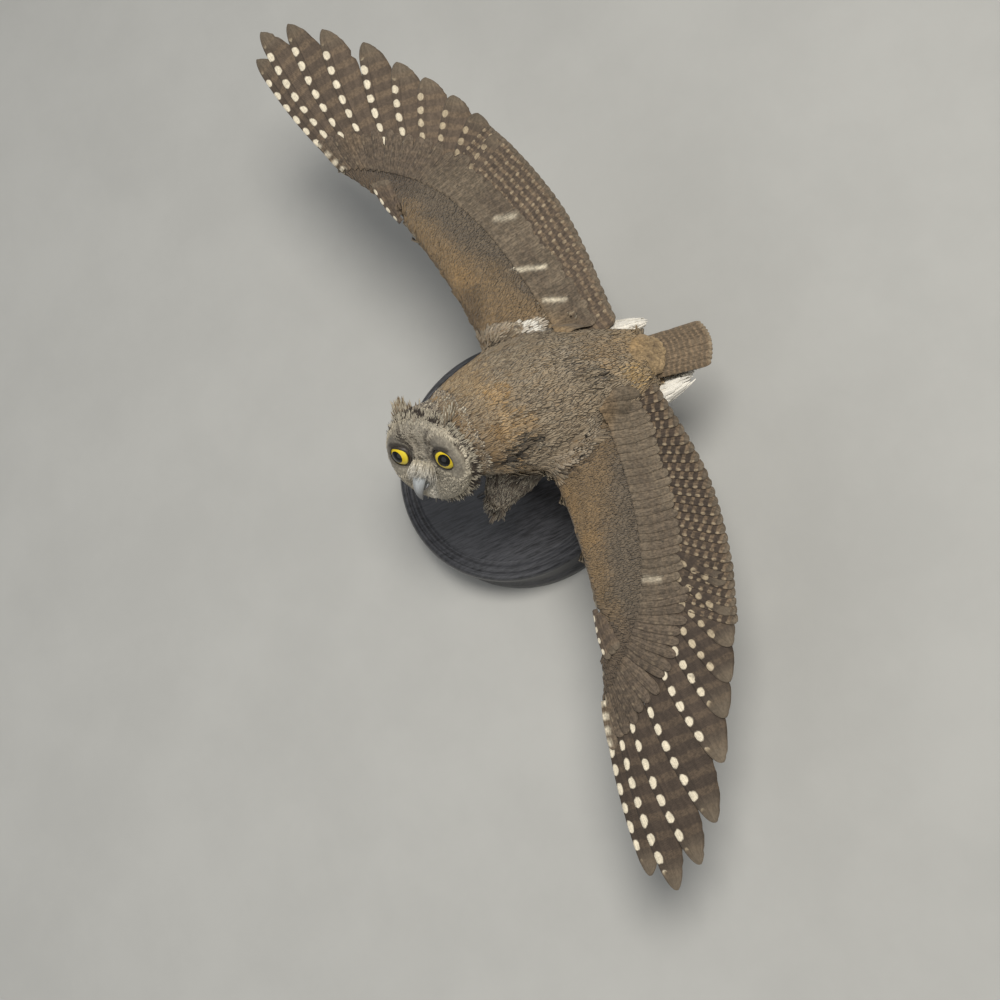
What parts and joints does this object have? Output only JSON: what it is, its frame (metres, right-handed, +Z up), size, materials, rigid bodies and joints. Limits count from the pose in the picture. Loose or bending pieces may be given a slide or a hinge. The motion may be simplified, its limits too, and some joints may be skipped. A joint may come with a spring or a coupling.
{
  "type": "mounted scops owl",
  "caption": "Small eared owl, mounted with spread wings and turned head, standing on a low round black turned wooden base.",
  "frame": {"origin": "centre of the base's underside, on the surface it stands on", "axes": "+Z up, square to the base; the bird faces -Y, its right wing reaches towards -X and its left wing towards +X, its tail points to +Y"},
  "size_m": [0.5137, 0.2111, 0.1506],
  "materials": {
    "black_wood": "black stained turned hardwood, glossy wax polish",
    "brown_plumage": "soft plumage, matt",
    "tawny_plumage": "soft plumage, matt",
    "grey_plumage": "soft plumage, matt",
    "bill_horn": "horn, satin",
    "eye_glass": "domed glass eye, yellow iris and black pupil",
    "pale_plumage": "soft plumage, matt",
    "toe_skin": "dried bare toe skin with dark horn claws",
    "dark_vane": "stiff feather vanes, slight silky sheen"
  },
  "bodies": {
    "root": {"base": "black_wood", "trunk": "brown_plumage", "rump": "tawny_plumage", "head": "grey_plumage", "facial_disc": "grey_plumage", "bill_upper": "bill_horn", "bill_lower": "bill_horn", "eye_left": "eye_glass", "ear_tuft_left": "grey_plumage", "eye_right": "eye_glass", "ear_tuft_right": "grey_plumage", "neck": "brown_plumage", "tail": "tawny_plumage", "undertail_coverts": "pale_plumage", "flank_plume_left": "pale_plumage", "flank_plume_right": "pale_plumage", "breast_plumes": "pale_plumage", "thigh_left": "pale_plumage", "tarsus_left": "pale_plumage", "foot_left": "toe_skin", "thigh_right": "pale_plumage", "tarsus_right": "pale_plumage", "foot_right": "toe_skin", "wing_right_upper_arm": "tawny_plumage", "wing_right_forearm": "brown_plumage", "wing_right_hand": "brown_plumage", "wing_right_alula": "dark_vane", "wing_right_secondaries": "dark_vane", "wing_right_tertials": "dark_vane", "wing_right_primary_1": "dark_vane", "wing_right_primary_2": "dark_vane", "wing_right_primary_3": "dark_vane", "wing_right_primary_4": "dark_vane", "wing_right_primary_5": "dark_vane", "wing_right_primary_6": "dark_vane", "wing_right_primary_7": "dark_vane", "wing_right_primary_8": "dark_vane", "wing_right_primary_9": "dark_vane", "wing_right_primary_10": "dark_vane", "wing_left_upper_arm": "tawny_plumage", "wing_left_forearm": "brown_plumage", "wing_left_hand": "brown_plumage", "wing_left_alula": "dark_vane", "wing_left_secondaries": "dark_vane", "wing_left_tertials": "dark_vane", "wing_left_primary_1": "dark_vane", "wing_left_primary_2": "dark_vane", "wing_left_primary_3": "dark_vane", "wing_left_primary_4": "dark_vane", "wing_left_primary_5": "dark_vane", "wing_left_primary_6": "dark_vane", "wing_left_primary_7": "dark_vane", "wing_left_primary_8": "dark_vane", "wing_left_primary_9": "dark_vane", "wing_left_primary_10": "dark_vane"}
  },
  "joints": []
}
